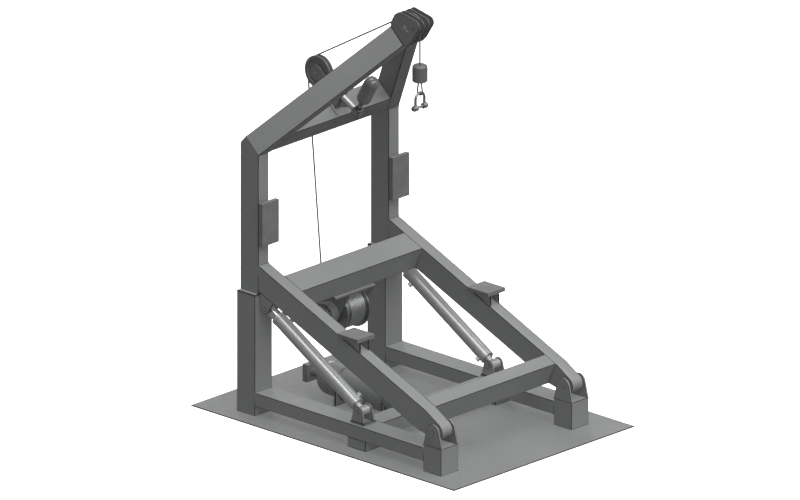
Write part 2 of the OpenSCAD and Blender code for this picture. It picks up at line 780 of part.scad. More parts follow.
// Half outline of a grooved sheave from its bush to its rim, turned about X
module sheave(pitch_r, w, bore, web) {
    rim = pitch_r + flange_h;
    groove = rope_r + 1.2;
    bush = bore + 8;
    rotate([0, 90, 0]) rotate_extrude() difference() {
        union() {
            translate([bush, -w / 2]) square([22, w]);
            translate([bush, -web / 2]) square([pitch_r - bush, web]);
            translate([pitch_r - rope_r - 14, -w / 2]) square([rim - pitch_r + rope_r + 14, w]);
        }
        translate([pitch_r, 0]) circle(groove);
        translate([pitch_r, -groove]) square([flange_h + 1, 2 * groove]);
    }
    rotate([0, 90, 0]) translate([0, 0, -w / 2]) difference() {
        cylinder(r = bush, h = w);
        translate([0, 0, -1]) cylinder(r = bore, h = w + 2);
    }
}
module head_sheave() color(paint_dark)
    at_yz(head_at) sheave(head_pitch_r, head_sheave_w, head_axle_r + run, 20);
module side_sheave(side) {
    at_yz(head_at) translate([side * side_x, 0, 0])
        sheave(side_sheave_r - flange_h, side_sheave_w, head_axle_r + run, 16);
}
module side_sheave_left() color(paint_dark) side_sheave(-1);
module side_sheave_right() color(paint_dark) side_sheave(1);

// Rope damper: guide sheave in a fork on a rod that slides in the damper's cylinder
guide_axle_r = 20;
guide_web = 36;
fork_t = 14;
fork_r = 78;
fork_half = 30;
fork_gap = guide_w + 6;
manifold_l = 90;
crown_y = -(guide_pitch_r + flange_h + 12);
crown_l = 38;
damper_y1 = crown_y - crown_l - damper_travel - 8;
damper_y0 = manifold_l / 2 - damper_l;
module guide_sheave() color(paint_dark)
    at_yz(guide_at) sheave(guide_pitch_r, guide_w, guide_axle_r + run, guide_web);
module guide_axle() color(bright)
    at_yz(guide_at) ringed_pin(guide_axle_r, fork_gap + 2 * fork_t);
module sheave_fork() color(paint)
    on_damper() {
        for (s = [-1, 1]) translate([s * (fork_gap + fork_t) / 2, 0, 0]) plate_yz(fork_t) difference() {
            union() {
                circle(fork_r);
                polygon([[0, -fork_r], [0, fork_r], [crown_y, fork_half], [crown_y - crown_l, fork_half],
                    [crown_y - crown_l, -fork_half], [crown_y, -fork_half]]);
            }
            circle(guide_axle_r + run);
        }
        translate([0, crown_y - crown_l, -fork_half]) box_x(fork_gap, crown_l, 2 * fork_half);
    }
piston_t = 26;
module damper_rod() color(bright)
    on_damper() {
        far = damper_y0 + 20 + damper_travel + 6;
        translate([0, far, 0]) along_y(damper_rod_r, crown_y - crown_l - far);
        translate([0, far, 0]) along_y(damper_r - 6 - run, piston_t);
    }
module damper_cylinder() color(paint)
    on_damper() difference() {
        union() {
            translate([0, damper_y0, 0]) along_y(damper_r, damper_y1 - damper_y0);
            translate([0, damper_y1 - 30, 0]) along_y(damper_r + 5, 30);
        }
        translate([0, damper_y0 + 20, 0]) along_y(damper_r - 6, damper_y1 - damper_y0 - 50);
        translate([0, damper_y1 - 40, 0]) along_y(damper_rod_r + run, 50);
    }
manifold_w = 84;
bottle_y = 4 - damper_l;
bottle_nut_r = 34;
bottle_nut_h = 18;
bottle_neck_r = 26;
bottle_neck_h = 61;
module damper_manifold() color(paint_dark)
    on_damper() {
        translate([0, -damper_l - manifold_l / 2, -manifold_w / 2])
            box_x(manifold_w, manifold_l, manifold_w);
        translate([0, bottle_y, manifold_w / 2]) {
            cylinder(r = bottle_nut_r, h = bottle_nut_h, $fn = 6);
            cylinder(r = bottle_neck_r, h = bottle_nut_h + bottle_neck_h);
        }
    }
module accumulator() color(paint)
    on_damper() translate([0, bottle_y, manifold_w / 2 + bottle_nut_h + bottle_neck_h]) rotate_extrude()
        bottle_outline(bottle_r, bottle_l, bottle_r);
// A clamp block and a web that carry the damper's cylinder on the crossbeam of the A-shaped top
clamp_l = 56;
clamp_w = 84;
clamp_over = 7;
clamp_y1 = damper_y1 - 35;
clamp_y0 = clamp_y1 - clamp_l;
web_l = 135;
web_d = 160;
module damper_pedestal() color(paint)
    difference() {
        intersection() {
            on_damper() {
                translate([0, clamp_y0, -a_depth])
                    box_x(clamp_w, clamp_l, a_depth + damper_r + clamp_over);
                plate_yz(web_t) polygon([[clamp_y0 + web_t, web_t - damper_r],
                    [clamp_y0 - web_l, web_t - damper_r], [clamp_y0 + web_t, -web_d]]);
            }
            on_a_top() translate([0, 0, a_beam_w]) box_x(2 * clamp_w, a_depth, 2 * a_depth);
        }
        on_damper() translate([0, -damper_l, 0]) along_y(damper_r + run, damper_l);
    }

// Winch under the upper crossbeam
winch_x0 = -312;
winch_x1 = 264;
module at_drum() {
    at_yz(drum_at) rotate([slope, 0, 0]) children();
}
journal_r = 35;
journal_grip = 24;
module winch_frame() color(paint_dark)
    at_drum() {
        low = winch_drop - winch_plate_t - weld;
        l = upper_beam_w + 70;
        translate([winch_x0, -winch_offset - l / 2, low]) cube([winch_x1 - winch_x0, l, winch_plate_t]);
        for (x = [drum_x0 - side_gap - winch_plate_t / 2 - 4, winch_x1 - winch_plate_t / 2])
            translate([x, 0, 0]) plate_yz(winch_plate_t) difference() {
                union() {
                    circle(110);
                    polygon([[-110, 0], [110, 0], [150, low], [-150, low]]);
                }
                circle(journal_r + run);
            }
    }
gear_x1 = drum_x0 - side_gap - winch_plate_t - 4;
gear_x0 = gear_x1 - gearbox_l;
module winch_gearbox() color(paint)
    at_drum() difference() {
        union() {
            translate([gear_x0, 0, 0]) rotate([0, 90, 0]) cylinder(r = gearbox_r - 8, h = gearbox_l);
            for (k = [0:4]) translate([gear_x0 + k * (gearbox_l - 12) / 4, 0, 0]) rotate([0, 90, 0])
                cylinder(r = gearbox_r, h = 12);
        }
        translate([gear_x1 - journal_grip - side_gap, 0, 0]) rotate([0, 90, 0])
            cylinder(r = journal_r + run, h = journal_grip + 2 * side_gap);
    }
module winch_motor() color(bright)
    at_drum() {
        translate([gear_x0 - motor_l, 0, 0]) rotate([0, 90, 0]) cylinder(r = motor_r, h = motor_l);
        translate([gear_x0 - motor_l + 20, -26, motor_r - 10]) cube([50, 52, 34]);
    }
core_r = drum_pitch_r - rope_r - 0.5;
core_wall = 16;
core_end = 30;
middle_ring_x = -33;
middle_ring_t = 8;
middle_ring_h = 12;
// A round piece on the drum's axis, from one X to another
module on_axis(r, from, to) {
    translate([from, 0, 0]) rotate([0, 90, 0]) cylinder(r = r, h = to - from);
}
module winch_drum() color(bright) {
    at_drum() {
        on_axis(journal_r, gear_x1 - journal_grip, winch_x1);
        difference() {
            on_axis(core_r, drum_x0, drum_x1);
            difference() {
                on_axis(core_r - core_wall, drum_x0 + core_end, drum_x1 - core_end);
                on_axis(journal_r + 12, drum_x0, drum_x1);
            }
        }
        on_axis(drum_flange_r, drum_x0, drum_x0 + drum_flange_t);
        on_axis(core_r + middle_ring_h, middle_ring_x, middle_ring_x + middle_ring_t);
        on_axis(drum_flange_r, drum_x1 - drum_flange_t, drum_x1);
    }
    // The clamp that the rope's first turn starts from
    at_yz(drum_at) rotate([drum_leave, 0, 0])
        translate([winding_x, core_r - 4, -rope_d - 30]) box_x(rope_d + 1, rope_d + 8, 30);
}

// Hoist rope
module rope_winding() color(bright) tube_along(winding_path, rope_r, 6);
module hoist_rope() color(bright)
    tube_along([for (p = rope_route) [0, p[0], p[1]]], rope_r, 8);
module rope_fall() color(bright)
    translate([0, fall_y, weight_top]) cylinder(r = rope_r, h = fall_l);

// Hook group
module on_hook(z) {
    translate([0, fall_y, z]) children();
}
stem_r = 14;
disc_t = 10;
module hook_weight() color(paint)
    on_hook(weight_low) rotate_extrude() difference() {
        union() {
            square([weight_r - 26, weight_h]);
            translate([0, 8]) square([weight_r, weight_h - 34]);
            square([weight_r - 8, 10]);
            translate([weight_r - 26, weight_h - 26]) circle(26);
        }
        translate([-weight_r * 2, 0]) square([weight_r * 2, weight_h]);
        translate([0, -1]) square([stem_r + run, 61]);
        translate([0, 20]) square([stem_r + 12 + free, 30.6]);
    }
module swivel_plate() color(bright)
    on_hook(weight_low) {
        translate([0, 0, -disc_t - free]) cylinder(r = 40, h = disc_t);
        translate([0, 0, -disc_t]) cylinder(r = stem_r, h = 50);
        translate([0, 0, 20 + free]) cylinder(r = stem_r + 12, h = 30);
    }
bail_r = 9;
bail_half = 36;
bail_top = weight_low - disc_t - free;
bail_mid = bail_top - 98;
bail_low = bail_mid - bail_half;
// The bail: down one leg, round the bend and up the other, as [y, z] from the bend's centre
bail_end = [21, bail_top - bail_mid];
bail_bend = bail_end - [0, 2 * bail_r];
bail_contact = touch(bail_bend, [0, 0], bail_half, -1);
bail_reach = atan2(bail_contact[1], bail_contact[0]);
bail_steps = 18;
bail_path = concat([bail_end, bail_bend],
    [for (i = [0:bail_steps]) on_circle([0, 0], bail_half,
        bail_reach - i * (180 + 2 * bail_reach) / bail_steps)],
    [[-bail_bend[0], bail_bend[1]], [-bail_end[0], bail_end[1]]]);
module hook_bail() color(bright)
    on_hook(bail_mid) tube_along([for (p = bail_path) [0, p[0], p[1]]], bail_r, 12);

crown_z = bail_low + bail_r + shackle_r + 0.4;
bow_mid = crown_z - shackle_half;
pin_z = crown_z - shackle_leg - shackle_half;
boss_r = 31;
boss_t = 44;
pin_head_r = 25;
pin_head_t = 16;
module shackle_bow() color(bright)
    on_hook(0) difference() {
        union() {
            translate([0, 0, bow_mid]) rotate([90, 0, 0]) rotate_extrude(angle = 180)
                translate([shackle_half, 0]) circle(shackle_r);
            for (s = [-1, 1]) {
                translate([s * shackle_half, 0, pin_z]) cylinder(r = shackle_r, h = bow_mid - pin_z);
                translate([s * shackle_half, 0, pin_z]) rod_x(boss_r, boss_t);
            }
        }
        translate([0, 0, pin_z]) rod_x(shackle_pin_r + run, 4 * shackle_half);
    }
module shackle_pin() color(bright)
    on_hook(pin_z) {
        l = 2 * (shackle_half + side_gap) + boss_t;
        rod_x(shackle_pin_r, l);
        for (s = [-1, 1]) translate([s * l / 2, 0, 0]) rotate([0, s * 90, 0])
            cylinder(r = pin_head_r, h = pin_head_t, $fn = s < 0 ? 64 : 6);
    }

// Luffing cylinders
module barrel(side) {
    on_cylinder(side) {
        difference() {
            union() {
                rod_x(eye_r, foot_eye_w);
                along_y(neck_r, barrel_s0 + 1);
            }
            rod_x(cyl_pin_r + run, foot_eye_w + 2);
        }
        difference() {
            union() {
                translate([0, barrel_s0, 0]) along_y(barrel_r, barrel_s1 - barrel_s0);
                translate([0, barrel_s1 - 34, 0]) along_y(barrel_r + 4, 34);
                for (s = [barrel_s0 + 60, barrel_s1 - 120]) translate([0, s, 0])
                    rotate([0, side < 0 ? 45 : 225, 0]) cylinder(r = port_r, h = barrel_r + port_h);
            }
            translate([0, barrel_s0 + end_cap_t, 0]) along_y(bore_r, barrel_s1 - gland_l - barrel_s0 - end_cap_t);
            translate([0, barrel_s1 - gland_l - 1, 0]) along_y(rod_r + run, gland_l + 2);
        }
    }
}
module barrel_left() color(paint) barrel(-1);
module barrel_right() color(paint) barrel(1);
module cylinder_rod(side) {
    on_cylinder(side) {
        translate([0, piston_s0, 0]) along_y(bore_r - run, piston_l);
        translate([0, piston_s0, 0]) along_y(rod_r, cyl_l - rod_eye_r / 2 - piston_s0);
        intersection() {
            translate([0, barrel_s1 + side_gap, 0]) along_y(shank_r, cyl_l - barrel_s1 - side_gap);
            translate([0, barrel_s1, -shank_r]) box_x(eye_w, cyl_l - barrel_s1, 2 * shank_r);
        }
        translate([0, cyl_l, 0]) rod_x(rod_eye_r, eye_w);
    }
}
module rod_left() color(bright) cylinder_rod(-1);
module rod_right() color(bright) cylinder_rod(1);

deck_plate();
rear_columns();
column_caps();
side_rails();
floor_crossbeam();
rail_blocks();
front_feet();
pivot_cheeks();
pivot_pins();
cylinder_clevises();
clevis_pins();
gas_tank();
tank_valve();
tank_saddles();
tank_bands();
posts();
a_beams();
a_crossbeam();
incline_beams();
pivot_bushes();
upper_crossbeam();
lower_crossbeam();
cylinder_lugs();
lug_pins();
landing_brackets();
landing_tables();
bumper_brackets();
bumper_pads();
head_plates();
head_axle();
axle_keepers();
keeper_bolts();
retaining_pins();
damper_cylinder();
damper_pedestal();
damper_manifold();
accumulator();
winch_frame();
winch_gearbox();
winch_motor();
barrel_left();
barrel_right();
rod_left();
rod_right();
damper_rod();
sheave_fork();
guide_axle();
guide_sheave();
head_sheave();
side_sheave_left();
side_sheave_right();
winch_drum();
rope_winding();
hoist_rope();
rope_fall();
hook_weight();
swivel_plate();
hook_bail();
shackle_bow();
shackle_pin();
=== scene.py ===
# %% [markdown]
# # A luffing deck gantry for launching and recovering boats
#
# The gantry is a welded steel frame that stands on a ship's deck. Two hydraulic cylinders swing it
# outboard, a winch under its upper crossbeam pays out a wire rope, and the rope runs over a sprung
# guide sheave and a head sheave down to a ball weight, a swivel and a shackle.
#
# The frame was drawn in CAD at its real size and is loaded here unchanged. This notebook gives it
# what a workshop would: eased and painted edges, weld beads, bolts, laid wire rope and real finishes.

# %% Load the frame
import json
import math

import bpy
from mathutils import Euler, Matrix, Vector

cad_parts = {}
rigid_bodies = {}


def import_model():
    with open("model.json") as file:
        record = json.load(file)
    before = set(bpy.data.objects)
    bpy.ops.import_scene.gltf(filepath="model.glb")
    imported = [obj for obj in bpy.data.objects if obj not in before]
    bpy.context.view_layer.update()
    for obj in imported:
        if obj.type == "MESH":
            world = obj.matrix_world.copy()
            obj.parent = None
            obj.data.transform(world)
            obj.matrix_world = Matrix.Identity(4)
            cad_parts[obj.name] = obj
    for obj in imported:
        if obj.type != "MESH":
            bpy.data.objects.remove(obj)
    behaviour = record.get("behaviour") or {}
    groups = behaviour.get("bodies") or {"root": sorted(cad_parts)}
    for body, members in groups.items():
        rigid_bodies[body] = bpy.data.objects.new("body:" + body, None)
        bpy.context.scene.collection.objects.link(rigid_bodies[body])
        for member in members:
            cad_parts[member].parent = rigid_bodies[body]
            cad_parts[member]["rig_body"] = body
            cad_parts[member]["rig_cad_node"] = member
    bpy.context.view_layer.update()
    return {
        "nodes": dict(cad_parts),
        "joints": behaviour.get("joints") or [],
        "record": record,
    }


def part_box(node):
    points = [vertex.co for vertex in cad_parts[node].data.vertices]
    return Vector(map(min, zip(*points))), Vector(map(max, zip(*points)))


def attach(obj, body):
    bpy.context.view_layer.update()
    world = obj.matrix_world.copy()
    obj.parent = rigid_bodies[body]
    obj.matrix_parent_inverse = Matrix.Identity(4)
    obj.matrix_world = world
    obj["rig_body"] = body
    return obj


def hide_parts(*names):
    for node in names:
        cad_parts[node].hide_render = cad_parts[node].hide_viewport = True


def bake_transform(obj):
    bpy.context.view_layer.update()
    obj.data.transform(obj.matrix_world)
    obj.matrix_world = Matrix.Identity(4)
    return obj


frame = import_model()
record = frame["record"]
joints = {joint["name"]: joint for joint in frame["joints"]}
ratios = {row["joint"]: row["ratio"] for row in record["behaviour"]["couplings"]}
body_of_node = {
    node: body for body, nodes in record["behaviour"]["bodies"].items() for node in nodes
}

# %% [markdown]
# ## Camera
#
# The picture is a parallel projection: edges that are parallel on the gantry stay parallel in it.
# An orthographic camera does the same. Its scale is the width of the picture in metres.

# %% Camera
PICTURE_WIDTH = 8.0
TURN = math.radians(-46.36)
TILT = math.radians(19.88)
AIM_RIGHT = -0.1013
AIM_UP = 1.6738
CAMERA_DISTANCE = 16.0

camera_turn = Euler((math.radians(90) - TILT, 0, TURN))
camera_axes = camera_turn.to_matrix()
aim = camera_axes @ Vector((AIM_RIGHT, AIM_UP, CAMERA_DISTANCE))
bpy.ops.object.camera_add(location=aim, rotation=camera_turn)
camera = bpy.context.active_object
camera.name = "camera"
camera.data.type = "ORTHO"
camera.data.ortho_scale = PICTURE_WIDTH
camera.data.clip_end = 100
bpy.context.scene.camera = camera
print("camera at", tuple(round(value, 2) for value in camera.location))

# %% [markdown]
# ## Light and floor
#
# A large soft sun from the front and above is the studio's overhead bank. Its wide angle gives soft
# shadows. Most of the light comes from a second one on the same side that casts none, as white walls
# all round would. Weak ones from the right and from behind keep the far faces readable, and a dim white
# world fills the rest.
#
# The pale floor is lit from within like a light table, so that shadows hardly show on it, and it throws
# no light up: the undersides stay dark.

# %% Light and floor
SUNS = {
    "overhead_bank": ((-0.08, -0.50, 0.86), 1.2, 80),
    "overhead_fill": ((-0.06, -0.50, 0.86), 3.5, 80),
    "right_bank": ((0.70, -0.60, 0.38), 0.2, 60),
    "rear_fill": ((0.42, 0.88, 0.16), 0.9, 40),
}
WORLD_LIGHT = 0.20
FLOOR_GLOW = 0.7
FLOOR_SIZE = 80.0

for name, (direction, strength, angle) in SUNS.items():
    turn = Vector(direction).to_track_quat("Z", "Y").to_euler()
    bpy.ops.object.light_add(type="SUN", location=Vector(direction) * 10, rotation=turn)
    sun = bpy.context.active_object
    sun.name = name
    sun.data.energy = strength
    sun.data.angle = math.radians(angle)
    sun.data.use_shadow = not name.endswith("fill")

world = bpy.data.worlds.new("studio")
bpy.context.scene.world = world
world.use_nodes = True
world.node_tree.nodes["Background"].inputs["Color"].default_value = (1, 1, 1, 1)
world.node_tree.nodes["Background"].inputs["Strength"].default_value = WORLD_LIGHT
bpy.context.scene.view_settings.view_transform = "Standard"

bpy.ops.mesh.primitive_plane_add(size=FLOOR_SIZE, location=(0, 0, -0.001))
floor = bpy.context.active_object
floor.name = "floor"
floor.visible_diffuse = False
floor.visible_glossy = False

# %% [markdown]
# ## Colour and node helpers
#
# Colours are picked as sRGB hex values, as a paint card gives them, and a shader works in linear
# light, so one function turns one into the other. A second adds a node with its settings and links.

# %% Colour and node helpers
def linear(hex_colour):
    """An sRGB hex colour as linear red, green, blue and alpha."""
    values = [int(hex_colour[i:i + 2], 16) / 255 for i in (1, 3, 5)]
    return [v / 12.92 if v <= 0.04045 else ((v + 0.055) / 1.055) ** 2.4 for v in values] + [1.0]


def add_node(material, kind, inputs=None, **settings):
    """Adds a node. Each input is a value or another node's output."""
    made = material.node_tree.nodes.new(kind)
    for name, value in settings.items():
        setattr(made, name, value)
    for name, value in (inputs or {}).items():
        if isinstance(value, bpy.types.NodeSocket):
            material.node_tree.links.new(value, made.inputs[name])
        else:
            made.inputs[name].default_value = value
    return made


def new_material(name):
    """An empty node material and its Principled shader."""
    material = bpy.data.materials.new(name)
    material.use_nodes = True
    return material, material.node_tree.nodes["Principled BSDF"]


def surface_point(material, stretch=(1, 1, 1)):
    """Object coordinates, in metres, with each axis stretched."""
    place = add_node(material, "ShaderNodeTexCoord").outputs["Object"]
    mapping = add_node(material, "ShaderNodeMapping", {"Vector": place, "Scale": stretch})
    return mapping.outputs["Vector"]


def noise(material, point, size, detail=3.0, rough=0.5):
    """A noise whose blobs are about that many metres across."""
    inputs = {"Vector": point, "Scale": 1 / size, "Detail": detail, "Roughness": rough}
    return add_node(material, "ShaderNodeTexNoise", inputs).outputs["Fac"]


def spread(material, value, low, high):
    """Takes a noise from its middle range to the values low and high."""
    inputs = {"Value": value, "From Min": 0.3, "From Max": 0.7, "To Min": low, "To Max": high}
    return add_node(material, "ShaderNodeMapRange", inputs).outputs["Result"]


def blend_colours(material, factor, first, second):
    """A colour between two, by a factor from 0 to 1."""
    ramp = add_node(material, "ShaderNodeValToRGB", {"Fac": factor})
    ramp.color_ramp.elements[0].color = linear(first)
    ramp.color_ramp.elements[1].color = linear(second)
    return ramp.outputs["Color"]


def link(material, output, shader, name):
    material.node_tree.links.new(output, shader.inputs[name])


def bump(material, shader, height, distance, strength=1.0):
    inputs = {"Height": height, "Distance": distance, "Strength": strength}
    link(material, add_node(material, "ShaderNodeBump", inputs).outputs["Normal"], shader, "Normal")

# %% [markdown]
# ## Painted steel
#
# The frame is welded plate and box section, blasted and sprayed with two coats of grey marine enamel,
# and so are its pins. The cylinders' enamel has metal flake in it and the bottle's is the glossiest.
# To the eye that is a satin film with a faint orange peel, slightly uneven in tone over a metre or so,
# duller where hands and ropes rub it. The peel of a real coat is about 2 mm across and is drawn at
# 9 mm, because it would vanish in a picture of the whole gantry.

# %% Painted steel
PEEL_SIZE = 0.009
PATCH_SIZE = 0.9
SMUDGE_SIZE = 0.12
DULLER = 0.08
GLOSSIER = 0.06
COAT_ROUGHNESS = 0.12
PAINT_IOR = 1.5


def painted_steel(name, dark, light, roughness, gloss_coat=0.0, peel=0.00012, metal_flake=0.0):
    """Sprayed enamel: two close greys in patches, a faint peel and uneven gloss."""
    material, shader = new_material(name)
    point = surface_point(material)
    patches = spread(material, noise(material, point, PATCH_SIZE, 4), 0, 1)
    link(material, blend_colours(material, patches, dark, light), shader, "Base Color")
    smudges = noise(material, point, SMUDGE_SIZE, 5, 0.6)
    gloss = spread(material, smudges, roughness - GLOSSIER, roughness + DULLER)
    link(material, gloss, shader, "Roughness")
    bump(material, shader, noise(material, point, PEEL_SIZE, 2), peel)
    shader.inputs["IOR"].default_value = PAINT_IOR
    shader.inputs["Metallic"].default_value = metal_flake
    shader.inputs["Coat Weight"].default_value = gloss_coat
    shader.inputs["Coat Roughness"].default_value = COAT_ROUGHNESS
    return material


frame_enamel = painted_steel("frame_enamel", "#717273", "#767777", 0.46)
fitting_enamel = painted_steel("fitting_enamel", "#626364", "#6a6b6b", 0.44)
tank_enamel = painted_steel("tank_enamel", "#6c6d6e", "#6f7070", 0.32, 0.25, 0.00004)
cylinder_enamel = painted_steel("cylinder_enamel", "#a0a1a1", "#a6a7a7", 0.34, 0.3, 0.00004, 0.55)
bottle_enamel = painted_steel("bottle_enamel", "#5e5f60", "#636465", 0.16, 0.7, 0.00002)
deck_enamel = painted_steel("deck_enamel", "#6f7070", "#757676", 0.55, 0.0, 0.0002)

# %% [markdown]
# ## Edges and welds
#
# Spray draws thin over a sharp edge, so the dark primer shows through it, and a weld bead holds dirt
# in its ripples. Both read as the fine dark lines that outline every member. The bead's ripples are
# about 2 mm apart and are drawn at 5 mm.

# %% Edge and weld finishes
WEAR_SIZE = 0.05
RIPPLE_SIZE = 0.005


def thin_edge(name):
    """The quite matt primer that shows along a painted edge."""
    material, shader = new_material(name)
    point = surface_point(material)
    wear = spread(material, noise(material, point, WEAR_SIZE, 4, 0.7), 0, 1)
    link(material, blend_colours(material, wear, "#161717", "#222323"), shader, "Base Color")
    shader.inputs["Roughness"].default_value = 0.8
    shader.inputs["Specular IOR Level"].default_value = 0.1
    return material


def weld_metal(name):
    """A painted weld bead with its ripples."""
    material, shader = new_material(name)
    point = surface_point(material)
    tone = spread(material, noise(material, point, 0.03, 4, 0.6), 0, 1)
    link(material, blend_colours(material, tone, "#3f4040", "#585959"), shader, "Base Color")
    bump(material, shader, noise(material, point, RIPPLE_SIZE, 2), 0.001)
    shader.inputs["Roughness"].default_value = 0.5
    return material


edge_primer = thin_edge("edge_primer")
weld_bead = weld_metal("weld_bead")

# %% [markdown]
# ## Bare metals
#
# Chromed rods are ground and polished to a mirror with hair-fine rings. Turned steel keeps the lathe's
# marks, drawn 3 mm apart. Bolts are phosphated, dark grey. Galvanised steel shows grey zinc crystals,
# the spangle, 8 to 12 mm across. Sheaves are machined castings, painted and worn bright in the groove.

# %% Bare metals
def bare_metal(name, dark, light, roughness, grain_size, grain_stretch, relief):
    """A metal whose tone and gloss vary with a stretched grain."""
    material, shader = new_material(name)
    point = surface_point(material, grain_stretch)
    grain = noise(material, point, grain_size, 4, 0.6)
    tone = spread(material, grain, 0, 1)
    link(material, blend_colours(material, tone, dark, light), shader, "Base Color")
    link(material, spread(material, grain, roughness - 0.05, roughness + 0.07), shader, "Roughness")
    bump(material, shader, grain, relief)
    shader.inputs["Metallic"].default_value = 1.0
    return material


def zinc_coat(name):
    """Hot-dip galvanising: flat crystals of slightly different greys."""
    material, shader = new_material(name)
    point = surface_point(material)
    cells = add_node(material, "ShaderNodeTexVoronoi", {"Vector": point, "Scale": 1 / 0.01})
    grey = add_node(material, "ShaderNodeRGBToBW", {"Color": cells.outputs["Color"]}).outputs["Val"]
    tone = add_node(material, "ShaderNodeMapRange", {"Value": grey, "To Min": 0.0, "To Max": 1.0})
    zinc = blend_colours(material, tone.outputs["Result"], "#7d8082", "#a2a5a7")
    link(material, zinc, shader, "Base Color")
    link(material, spread(material, noise(material, point, 0.02), 0.34, 0.5), shader, "Roughness")
    shader.inputs["Metallic"].default_value = 0.85
    return material


ALONG_X = (12.0, 1.0, 1.0)
chromed_steel = bare_metal("chromed_steel", "#d8d9da", "#e4e5e5", 0.24, 0.03, (1, 6, 6), 0.00001)
turned_steel = bare_metal("turned_steel", "#8f9091", "#a8a9aa", 0.36, 0.04, ALONG_X, 0.00004)
phosphated_steel = bare_metal("phosphated_steel", "#4f5051", "#5d5e5f", 0.42, 0.04, ALONG_X, 0.00004)
cast_iron = painted_steel("painted_casting", "#565757", "#626363", 0.42, 0.0, 0.0003)
bearing_bronze = bare_metal("bearing_bronze", "#8a6a3c", "#a5854f", 0.35, 0.03, ALONG_X, 0.00003)
galvanised = zinc_coat("galvanised_steel")

# %% [markdown]
# ## Rubber, rope wire and the floor
#
# The pads are moulded black rubber gone grey in the weather, quite matt. Rope wire is galvanised. Where
# it runs over the sheaves it is dark with grease, and on the drum the grease is wiped off and the zinc
# shows. The floor is plain and pale.

# %% Rubber, rope wire and floor
def moulded_rubber(name):
    material, shader = new_material(name)
    point = surface_point(material)
    tone = spread(material, noise(material, point, 0.15, 5, 0.6), 0, 1)
    link(material, blend_colours(material, tone, "#5c5d5e", "#686969"), shader, "Base Color")
    bump(material, shader, noise(material, point, 0.004, 2), 0.0002)
    shader.inputs["Roughness"].default_value = 0.62
    return material


def plain_floor(name):
    material, shader = new_material(name)
    point = surface_point(material)
    tone = spread(material, noise(material, point, 2.0), 0, 1)
    link(material, blend_colours(material, tone, "#f4f4f4", "#f6f6f6"), shader, "Base Color")
    shader.inputs["Roughness"].default_value = 0.9
    shader.inputs["Emission Color"].default_value = (1, 1, 1, 1)
    shader.inputs["Emission Strength"].default_value = FLOOR_GLOW
    return material


pad_rubber = moulded_rubber("pad_rubber")
rope_wire = bare_metal("rope_wire", "#9a9b9c", "#aeafb0", 0.42, 0.01, (1, 1, 1), 0.00005)
greased_wire = painted_steel("greased_wire", "#4a4b4c", "#545556", 0.5)
floor.data.materials.append(plain_floor("pale_floor"))

# %% Give each CAD node its finish
finish_of_slot = {
    "frame_paint": frame_enamel,
    "fitting_paint": fitting_enamel,
    "tank_paint": tank_enamel,
    "cylinder_paint": cylinder_enamel,
    "chromed_steel": chromed_steel,
    "machined_steel": turned_steel,
    "galvanised_steel": galvanised,
    "cast_sheave": cast_iron,
    "bearing_bronze": bearing_bronze,
    "rubber_pad": pad_rubber,
    "wire_rope": rope_wire,
}
slot_of_node = {row["node"]: row["material_slot"] for row in record["subparts"]}
PINS = ["pivot_pins", "clevis_pins", "lug_pins", "head_axle", "keeper_bolts", "retaining_pins",
        "guide_axle"]
finish_of_node = {"deck_plate": deck_enamel, "accumulator": bottle_enamel}
finish_of_node.update({name: frame_enamel for name in PINS})
for name, node_object in frame["nodes"].items():
    node_object.data.materials.clear()
    finish = finish_of_node.get(name, finish_of_slot[slot_of_node[name]])
    node_object.data.materials.append(finish)
print("finishes:", len(finish_of_slot))

# %% [markdown]
# ## Copies of the CAD solids
#
# A CAD solid arrives as loose triangles, each with its own corners. A copy of it is merged first, so
# that its faces are joined, and then its flat parts are dissolved into whole faces. Bevels and outlines
# need both.

# %% Helpers for copies
SHARP_ANGLE = math.radians(20)
ROUND_ANGLE = math.radians(60)
FLAT_ANGLE = math.radians(0.5)
MERGE_DISTANCE = 0.00002


def deselect_all():
    if bpy.context.object and bpy.context.object.mode != "OBJECT":
        bpy.ops.object.mode_set(mode="OBJECT")
    bpy.ops.object.select_all(action="DESELECT")


def make_active(piece):
    deselect_all()
    piece.select_set(True)
    bpy.context.view_layer.objects.active = piece


def merged_copy(node, name):
    """A copy of a CAD node with whole faces, not yet standing for anything."""
    make_active(frame["nodes"][node])
    bpy.ops.object.duplicate()
    piece = bpy.context.active_object
    piece.name = name
    piece.parent = None
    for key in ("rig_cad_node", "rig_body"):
        if key in piece:
            del piece[key]
    bpy.ops.object.mode_set(mode="EDIT")
    bpy.ops.mesh.select_all(action="SELECT")
    bpy.ops.mesh.remove_doubles(threshold=MERGE_DISTANCE)
    bpy.ops.mesh.dissolve_limited(angle_limit=FLAT_ANGLE)
    bpy.ops.object.mode_set(mode="OBJECT")
    make_active(piece)
    if piece.data.has_custom_normals:
        bpy.ops.mesh.customdata_custom_splitnormals_clear()
    return piece


def apply_modifier(piece, kind, **settings):
    make_active(piece)
    bpy.ops.object.modifier_add(type=kind)
    modifier = piece.modifiers[-1]
    for name, value in settings.items():
        setattr(modifier, name, value)
    bpy.ops.object.modifier_apply(modifier=modifier.name)


def smooth(piece, angle=SHARP_ANGLE):
    make_active(piece)
    bpy.ops.object.shade_smooth_by_angle(angle=angle)


# %% [markdown]
# ## Weld beads
#
# Every member is welded on all round where it meets the next. The bead follows the outline of the
# member's end, so the faces that point along one direction are picked, their border is taken off as a
# wire, and the wire becomes a tube. Inner borders, inside the hollow sections, are left out.
#
# The table gives the directions in which each node's ends look. The frame's inclined part slopes at
# 22.6 degrees, the A-shaped top leans forward by 43, and its two beams close in by 28.6 each.

